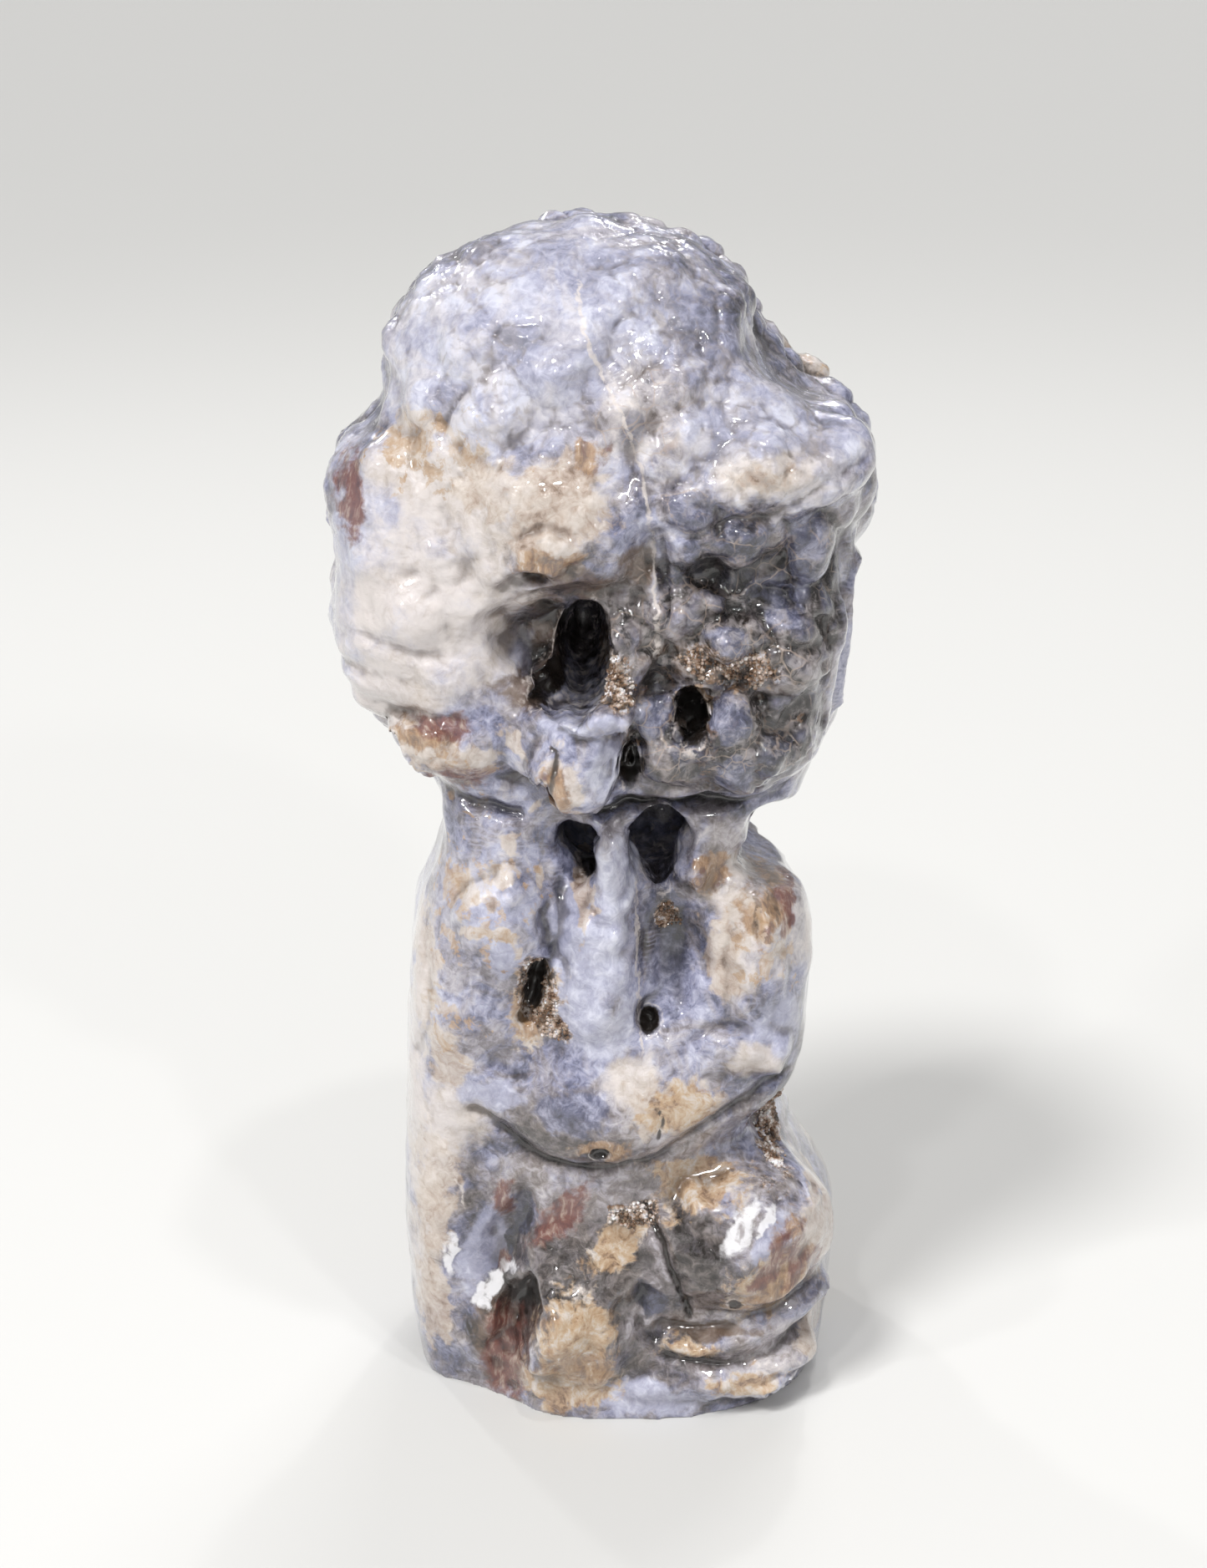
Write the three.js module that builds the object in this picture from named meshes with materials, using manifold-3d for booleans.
// A seated figure carved from one block of blue agate, about 247 mm tall, in millimetres, +Z up.
// Its back, towards -Y, keeps the stone's natural lumps, pockets and holes.
// Its front, with the face, the folded hands and the crossed legs, looks along +Y and a little to +X.
// The origin is the centre of the stone's footprint, on the flat base.

import * as THREE from "three";
import { SimplifyModifier } from "three/addons/modifiers/SimplifyModifier.js";
import { mergeVertices } from "three/addons/utils/BufferGeometryUtils.js";
import Module from "manifold-3d";

// Driving dimensions
const gridStep = 3.2;
const triangleGoal = 9600;
const massFillet = 5; // radius of the fillet where two masses meet
const hollowFillet = 1.5; // radius of the rounding at the mouth of a hollow
const figureTurn = -20; // degrees about Z, from +Y to where the face looks
const searchBox = { low: [-64, -56, -12], high: [64, 64, 254] }; // the whole stone, with room around it
const floorBlock = { width: 200, height: 40 };

// The block's section at some heights, from the floor up. The right side is +X, the back is -Y.
const sections = [
  { z: -8, left: -38, right: 47.6, back: -34, front: 41 },
  { z: 0, left: -38, right: 47.6, back: -34, front: 41 },
  { z: 10, left: -40, right: 49.6, back: -31, front: 43 },
  { z: 33, left: -40, right: 50, back: -28, front: 42 },
  { z: 62, left: -40, right: 37, back: -27, front: 34 },
  { z: 88, left: -39.6, right: 44.5, back: -27, front: 31 },
  { z: 106, left: -38, right: 41.5, back: -24, front: 26 },
  { z: 118, left: -33.5, right: 36, back: -21, front: 18 },
  { z: 129, left: -31, right: 40, back: -24, front: 17 },
  { z: 142, left: -41, right: 45, back: -28, front: 30 },
  { z: 155, left: -49, right: 45.5, back: -29, front: 36 },
  { z: 169, left: -54, right: 48, back: -30, front: 37 },
  { z: 183, left: -55, right: 50.5, back: -32, front: 37 },
  { z: 198, left: -52, right: 53, back: -35, front: 37 },
  { z: 208, left: -46.5, right: 48, back: -35, front: 37 },
  { z: 220, left: -42, right: 34, back: -33, front: 34 },
  { z: 231, left: -35, right: 25, back: -27, front: 28 },
];
const sectionPower = 2.35; // 2 is an ellipse, more is boxier

// Natural masses that stand out of the block: centre, radii, then degrees about X, Y and Z.
const naturalLumps = {
  crown: { at: [-9, -6, 220.5], radii: [31, 26, 23.5] },
  crownRight: { at: [3, -3, 221], radii: [29, 26, 23] },
  crownStep: { at: [18, -14, 208], radii: [25, 19, 17], turn: [0, 12, 0] },
  browLedge: { at: [28, -22, 201], radii: [25, 17, 10], turn: [0, -5, 0] },
  browKnob: { at: [44.5, -6, 201], radii: [9, 11, 6.5] },
  tanBulge: { at: [-8, -26, 196], radii: [19, 16, 14] },
  tanLip: { at: [-10, -34, 187.5], radii: [10, 8, 5.5] },
  leftTemple: { at: [-34, -12, 190], radii: [19, 19, 20] },
  leftCheek: { at: [-31, -15, 170], radii: [21, 17, 23] },
  lowerCheek: { at: [-23, -18, 151], radii: [15, 14, 13] },
  rightMass: { at: [27, -14, 167], radii: [23, 18, 24] },
  rightJaw: { at: [25, -16, 149], radii: [20, 17, 15] },
  nub: { at: [-4, -31, 146], radii: [8, 10, 11] },
  holeLip: { at: [-4, -30, 154], radii: [11, 9, 4] },
  holeBeads: { at: [4, -33, 168], radii: [3.5, 4, 9] },
  leftNeck: { at: [-19, -16, 128], radii: [12, 12, 20], turn: [0, -6, 0] },
  neckColumn: { at: [1.5, -19, 124], radii: [5.5, 7, 15], turn: [0, 4, 0] },
  rightNeck: { at: [21, -13, 124], radii: [7, 10, 16] },
  leftArm: { at: [-23, -16, 94], radii: [15, 14, 32], turn: [0, 3, 0] },
  leftArmBulge: { at: [-18, -24, 108], radii: [11, 9, 12] },
  centrePanel: { at: [0, -22, 100], radii: [9, 9, 24] },
  rightArm: { at: [31, -12, 93], radii: [13, 15, 27], turn: [0, -2, 0] },
  rightShoulder: { at: [28, -15, 108], radii: [13, 11, 10] },
  sleeves: { at: [2, -15, 71], radii: [36, 17, 14] },
  sleeveTip: { at: [2, -22, 66], radii: [18, 12, 11] },
  leftFlank: { at: [-31, -9, 58], radii: [9, 15, 34] },
  rightKnee: { at: [26.5, -17, 36], radii: [23, 17, 18], turn: [0, -10, 0] },
  kneeHem: { at: [26, -19, 18.5], radii: [23.5, 13, 5], turn: [0, -12, 0] },
  footHem: { at: [22, -22, 9], radii: [25, 12, 5], turn: [0, -6, 0] },
  frontKnee: { at: [-3, -22, 22], radii: [15, 14, 20], turn: [0, -6, 0] },
  leftColumn: { at: [-32, -6, 30], radii: [8.5, 15, 34] },
};

// The carved side, before it turns by figureTurn. The figure's own right is +X.
const carvedLumps = {
  face: { at: [0, 12, 168], radii: [36, 33, 36] },
  chin: { at: [0, 30, 143], radii: [14, 12, 9] },
  jaw: { at: [0, 20, 148], radii: [27, 20, 15] },
  leftCheek: { at: [-16, 31, 160], radii: [14, 12, 12] },
  rightCheek: { at: [16, 31, 160], radii: [14, 12, 12] },
  forehead: { at: [0, 24, 190], radii: [29, 20, 14] },
  noseBridge: { at: [0, 43, 171], radii: [4, 6, 12], turn: [-10, 0, 0] },
  noseTip: { at: [0, 47, 161.5], radii: [6, 5.5, 4.5] },
  noseWings: { at: [0, 44, 160], radii: [8.5, 4.5, 3.6] },
  leftEye: { at: [-15, 37.5, 174], radii: [9, 6, 4.6] },
  rightEye: { at: [15, 37.5, 174], radii: [9, 6, 4.6] },
  upperLip: { at: [0, 43.5, 152.4], radii: [10, 4, 2.6] },
  lowerLip: { at: [0, 43, 148.2], radii: [8, 4, 2.8] },
  rightEar: { at: [45.5, 10, 161], radii: [4.5, 6.5, 18], turn: [8, 7, 0] },
  leftEar: { at: [-43, 14, 167], radii: [4.5, 7, 15], turn: [8, -8, 0] },
  hair: { at: [-1, 13, 209], radii: [40, 33, 24] },
  hairLeft: { at: [-35, 10, 190], radii: [16, 22, 20] },
  hairRight: { at: [31, 12, 190], radii: [17, 24, 22] },
  neck: { at: [0, 8, 128], radii: [17, 15, 16] },
  leftShoulder: { at: [-24, 4, 101], radii: [15, 17, 14] },
  rightShoulder: { at: [25, 5, 98], radii: [15, 16, 13] },
  chest: { at: [0, 14, 97], radii: [27, 19, 22] },
  leftLapel: { at: [-9, 30, 93], radii: [3.6, 4, 19], turn: [10, -28, 0] },
  rightLapel: { at: [9, 31, 93], radii: [3.6, 4, 19], turn: [10, 28, 0] },
  leftUpperArm: { at: [-34, 9, 84], radii: [10, 12, 24] },
  rightUpperArm: { at: [32, 8, 87], radii: [10, 11, 20] },
  leftForearm: { at: [-19, 29, 61], radii: [19, 9, 8], turn: [0, 22, 28] },
  rightForearm: { at: [15, 30, 60], radii: [16, 9, 8], turn: [0, -22, -28] },
  hands: { at: [0, 39, 52], radii: [14, 8, 5.5] },
  belly: { at: [0, 17, 72], radii: [24, 19, 22] },
  leftThigh: { at: [-23, 20, 28], radii: [20, 21, 16], turn: [0, 0, 20] },
  rightThigh: { at: [23, 21, 28], radii: [20, 21, 16], turn: [0, 0, -20] },
  leftShin: { at: [-7, 38, 17], radii: [23, 10, 9], turn: [0, 12, -6] },
  rightShin: { at: [7, 40, 13], radii: [22, 9, 8], turn: [0, -12, 6] },
};

// The natural holes, and the undercuts between the masses.
const hollows = {
  headHoleMouth: { at: [-9, -44, 170], radii: [13, 14.5, 13.5], turn: [0, 20, 0] },
  headHole: { at: [-3, -24, 166], radii: [6, 24, 12], turn: [0, 4, 0] },
  smallHole: { at: [18, -31, 155], radii: [3.4, 12, 5.6] },
  nubSlit: { at: [6, -34, 144], radii: [1.8, 13, 6.5] },
  neckHollow: { at: [7, -6, 124], radii: [17, 9, 9] },
  leftNeckHole: { at: [-4.5, -22, 124], radii: [3.6, 14, 6.5], turn: [0, -16, 0] },
  rightNeckHole: { at: [12, -20, 125], radii: [6.5, 16, 8.5] },
  neckNotch: { at: [43, -8, 120], radii: [16, 34, 6.5] },
  rightValley: { at: [15, -34, 103], radii: [7.5, 15, 21] },
  sidePocket: { at: [-12.5, -34, 96], radii: [2.8, 13, 8], turn: [0, 6, 0] },
  valleyPit: { at: [9.5, -31, 89], radii: [2.6, 10, 3.4] },
  sidePit: { at: [38, -20, 61], radii: [5, 9, 6] },
  kneeValley: { at: [-20, -29, 34], radii: [4, 9, 20], turn: [0, 18, 0] },
  kneeCrack: { at: [13, -40, 36], radii: [1.8, 9, 14], turn: [0, -16, 0] },
  kneeFold: { at: [27, -41, 24], radii: [20, 12, 2.2], turn: [0, -14, 0] },
  footUndercut: { at: [-26, -35, 2], radii: [30, 12, 14], turn: [0, 0, -38] },
};

// Rounded knobs all over the head and its hair, but not on the face, the ears or the underside.
const knobCount = 190;
const knobRadius = [6, 8.5];
const knobRise = [1, 2.2]; // how far a knob stands out
const knobJitter = 0.7; // of the spacing between two knobs
const knobFillet = 1.2;
const knobFloor = 143; // height of the lowest knobs
const headCentre = new THREE.Vector3(0, 0, 184);
const headReach = 90; // further from that centre than any point of the head
const faceZone = { halfAngle: 52, top: 199 }; // degrees each way from where the face looks
const earZone = { halfAngle: 92, top: 178 };

// The block: below zero inside it, and about the distance in millimetres near its surface.
const sectionHeights = sections.map(({ z }) => z);
const sectionSides = sections.flatMap(({ left, right, back, front }) => [left, right, back, front]);
const sectionAt = new THREE.CubicInterpolant(sectionHeights, sectionSides, 4);

function blockDistance([x, y, z]) {
  const [lowest, highest] = [sectionHeights[0], sectionHeights[sectionHeights.length - 1]];
  const [left, right, back, front] = sectionAt.evaluate(THREE.MathUtils.clamp(z, lowest, highest));
  const halfX = (right - left) / 2;
  const halfY = (front - back) / 2;
  const u = Math.abs((x - (left + right) / 2) / halfX);
  const v = Math.abs((y - (back + front) / 2) / halfY);
  const ring = (u ** sectionPower + v ** sectionPower) ** (1 / sectionPower);
  const side = (ring - 1) * Math.min(halfX, halfY);
  return Math.max(side, z - highest, lowest - z);
}

// A lump or hollow with the matrix that takes a point into its own axes.
function placed({ at, radii, turn = [0, 0, 0] }, bodyTurn = 0) {
  const own = new THREE.Euler(...turn.map(THREE.MathUtils.degToRad));
  const matrix = new THREE.Matrix4().makeRotationFromEuler(own).setPosition(...at);
  const body = new THREE.Matrix4().makeRotationZ(THREE.MathUtils.degToRad(bodyTurn));
  return { inverse: body.multiply(matrix).invert(), radii };
}

const ownPoint = new THREE.Vector3();

function ellipsoidDistance(point, { inverse, radii }) {
  const [a, b, c] = ownPoint.set(...point).applyMatrix4(inverse).toArray();
  const reach = Math.hypot(a / radii[0], b / radii[1], c / radii[2]);
  const slope = Math.hypot(a / radii[0] ** 2, b / radii[1] ** 2, c / radii[2] ** 2);
  return slope > 0 ? (reach * (reach - 1)) / slope : -Math.min(...radii);
}

// Joins two distances with a fillet. With the signs turned over it cuts instead.
function joined(a, b, fillet) {
  const overlap = Math.max(fillet - Math.abs(a - b), 0) / fillet;
  return Math.min(a, b) - (overlap * overlap * fillet) / 4;
}

const masses = [
  ...Object.values(naturalLumps).map((lump) => placed(lump)),
  ...Object.values(carvedLumps).map((lump) => placed(lump, figureTurn)),
];
const cuts = Object.values(hollows).map((hollow) => placed(hollow));

function smoothDistance(point) {
  return masses.reduce(
    (distance, lump) => joined(distance, ellipsoidDistance(point, lump), massFillet),
    blockDistance(point),
  );
}

// A value from 0 to 1 that looks random but is always the same for the same number.
function scatter(n) {
  return THREE.MathUtils.euclideanModulo(Math.sin(n * 12.9898) * 43758.5453, 1);
}

// Where a ray from the head's centre leaves the smooth surface.
function headSurface(direction) {
  let [inside, outside] = [0, headReach];
  while (outside - inside > 0.05) {
    const reach = (inside + outside) / 2;
    const probe = direction.clone().multiplyScalar(reach).add(headCentre);
    if (smoothDistance(probe.toArray()) < 0) inside = reach;
    else outside = reach;
  }
  return inside;
}

function isBare(centre, angle) {
  const faceAngle = THREE.MathUtils.degToRad(90 + figureTurn);
  const turned = Math.abs(Math.atan2(Math.sin(angle - faceAngle), Math.cos(angle - faceAngle)));
  const isIn = (zone) => turned < THREE.MathUtils.degToRad(zone.halfAngle) && centre.z < zone.top;
  return isIn(faceZone) || isIn(earZone) || centre.z < knobFloor;
}

// Knobs spread over the head by the golden angle, each moved a little and set into the surface.
function makeKnobs() {
  const knobs = [];
  const goldenAngle = Math.PI * (3 - Math.sqrt(5));
  const spacing = Math.sqrt((4 * Math.PI) / knobCount);
  for (let n = 0; n < knobCount; n += 1) {
    const slip = [0.25, 0.75].map((seed) => (scatter(n + seed) - 0.5) * knobJitter * spacing);
    const rise = THREE.MathUtils.clamp(1 - (2 * (n + 0.5)) / knobCount + slip[0], -1, 1);
    const angle = n * goldenAngle + slip[1];
    const flat = Math.sqrt(1 - rise * rise);
    const direction = new THREE.Vector3(flat * Math.cos(angle), flat * Math.sin(angle), rise);
    const radius = THREE.MathUtils.lerp(...knobRadius, scatter(n));
    const height = THREE.MathUtils.lerp(...knobRise, scatter(n + 0.5));
    const depth = headSurface(direction) + height - radius;
    const centre = direction.multiplyScalar(depth).add(headCentre);
    if (!isBare(centre, angle)) knobs.push(placed({ at: centre.toArray(), radii: [radius, radius, radius] }));
  }
  return knobs;
}

const knobs = makeKnobs();
const knobZoneLow = knobFloor - 2 * knobRadius[1];

function stoneDistance(point) {
  let distance = smoothDistance(point);
  if (point[2] > knobZoneLow)
    for (const knob of knobs) distance = joined(distance, ellipsoidDistance(point, knob), knobFillet);
  for (const cut of cuts) distance = -joined(-distance, ellipsoidDistance(point, cut), hollowFillet);
  return distance;
}

// The six tetrahedra of a cube. Each walks from corner 0 to corner 7 along the three axes in one
// order, and the orders that turn it inside out have two corners swapped back.
const axisOrders = [
  [0, 1, 2],
  [1, 2, 0],
  [2, 0, 1],
  [0, 2, 1],
  [1, 0, 2],
  [2, 1, 0],
];
const tetrahedra = axisOrders.map(([first, second, third], n) => {
  const afterFirst = 1 << first;
  const afterSecond = afterFirst + (1 << second);
  const last = afterSecond + (1 << third);
  return n < 3 ? [0, afterFirst, afterSecond, last] : [0, afterSecond, afterFirst, last];
});

// True where an odd count of swaps puts the numbers in rising order.
function isOddOrder(...order) {
  let swaps = 0;
  order.forEach((a, n) => {
    swaps += order.slice(n + 1).filter((b) => a > b).length;
  });
  return swaps % 2 === 1;
}

// Marching tetrahedra: a closed mesh of the surface where the distance is zero.
function polygonize(distance, { low, high }, step) {
  const count = low.map((v, axis) => Math.ceil((high[axis] - v) / step) + 1);
  const stride = [1, count[0], count[0] * count[1]];
  const place = (n) => {
    const cells = [n % count[0], Math.floor(n / stride[1]) % count[1], Math.floor(n / stride[2])];
    return cells.map((cell, axis) => low[axis] + cell * step);
  };
  const nearZero = 1e-6;
  const field = new Float64Array(stride[2] * count[2]);
  for (let n = 0; n < field.length; n += 1) field[n] = distance(place(n)) || nearZero;

  const positions = [];
  const crossings = new Map();
  const edgeMargin = 0.02; // keeps a vertex off the grid's own corners
  const crossing = (a, b) => {
    const key = Math.min(a, b) * field.length + Math.max(a, b);
    if (!crossings.has(key)) {
      const share = THREE.MathUtils.clamp(field[a] / (field[a] - field[b]), edgeMargin, 1 - edgeMargin);
      const [start, end] = [place(a), place(b)];
      crossings.set(key, positions.length / 3);
      start.forEach((v, axis) => positions.push(v + share * (end[axis] - v)));
    }
    return crossings.get(key);
  };

  const triangles = [];
  const march = (corners) => {
    const inner = [0, 1, 2, 3].filter((c) => field[corners[c]] < 0);
    const outer = [0, 1, 2, 3].filter((c) => field[corners[c]] >= 0);
    if (inner.length === 0 || outer.length === 0) return;
    if (inner.length === 2) {
      const pairs = [[0, 0], [0, 1], [1, 1], [1, 0]];
      const ring = pairs.map(([a, b]) => crossing(corners[inner[a]], corners[outer[b]]));
      if (isOddOrder(...inner, ...outer)) ring.reverse();
      triangles.push(ring[0], ring[1], ring[2], ring[0], ring[2], ring[3]);
      return;
    }
    const [alone] = inner.length === 1 ? inner : outer;
    const others = [0, 1, 2, 3].filter((c) => c !== alone);
    const ring = others.map((c) => crossing(corners[alone], corners[c]));
    if (isOddOrder(alone, ...others) !== (inner.length === 3)) ring.reverse();
    triangles.push(...ring);
  };
  const cubeCorner = (c) => (c & 1) * stride[0] + ((c >> 1) & 1) * stride[1] + ((c >> 2) & 1) * stride[2];
  for (let k = 0; k < count[2] - 1; k += 1)
    for (let j = 0; j < count[1] - 1; j += 1)
      for (let i = 0; i < count[0] - 1; i += 1) {
        const base = i + j * stride[1] + k * stride[2];
        for (const walk of tetrahedra) march(walk.map((c) => base + cubeCorner(c)));
      }

  const geometry = new THREE.BufferGeometry();
  geometry.setAttribute("position", new THREE.Float32BufferAttribute(positions, 3));
  geometry.setIndex(triangles);
  return geometry;
}

// True where every edge has one triangle on each side.
function isClosed(geometry) {
  const corners = geometry.index.array;
  const edges = new Set();
  for (let n = 0; n < corners.length; n += 3)
    for (const [from, to] of [[0, 1], [1, 2], [2, 0]]) {
      const edge = `${corners[n + from]} ${corners[n + to]}`;
      if (edges.has(edge)) return false;
      edges.add(edge);
    }
  return [...edges].every((edge) => edges.has(edge.split(" ").reverse().join(" ")));
}

// Fewer triangles on the smooth stretches. A goal that would pinch the surface is lowered a little.
async function simplified(geometry, goal) {
  const vertexGoal = goal / 2;
  const light = await new SimplifyModifier().modify(geometry, geometry.attributes.position.count - vertexGoal);
  return isClosed(light) ? light : simplified(geometry, goal - 50);
}

const wasm = await Module();
wasm.setup();

function toSolid(geometry) {
  const bare = geometry.clone();
  bare.deleteAttribute("normal");
  bare.deleteAttribute("uv");
  const merged = mergeVertices(bare, 1e-4);
  const vertProperties = merged.attributes.position.array;
  const triVerts = new Uint32Array(merged.index.array);
  return new wasm.Manifold(new wasm.Mesh({ numProp: 3, vertProperties, triVerts }));
}

function toGeometry(solid) {
  const { vertProperties, triVerts } = solid.getMesh();
  const geometry = new THREE.BufferGeometry();
  geometry.setAttribute("position", new THREE.BufferAttribute(vertProperties, 3));
  geometry.setIndex(new THREE.BufferAttribute(triVerts, 1));
  return geometry;
}

// The whole stone, cut off flat at the floor and moved so that its footprint's centre is the origin.
async function makeStone() {
  const whole = await simplified(polygonize(stoneDistance, searchBox, gridStep), triangleGoal);
  const { width, height } = floorBlock;
  const belowFloor = new THREE.BoxGeometry(width, width, height).translate(0, 0, -height / 2);
  const geometry = toGeometry(toSolid(whole).subtract(toSolid(belowFloor)));
  geometry.computeBoundingBox();
  const centre = geometry.boundingBox.getCenter(new THREE.Vector3());
  return geometry.translate(-centre.x, -centre.y, 0);
}

const blueAgate = new THREE.MeshStandardMaterial({
  name: "blue_agate",
  color: 0xa3a3b4,
  roughness: 0.25,
  metalness: 0,
});
const stone = new THREE.Mesh(await makeStone(), blueAgate);
stone.name = "agate_statue";

const statue = new THREE.Group();
statue.add(stone);
export default statue;
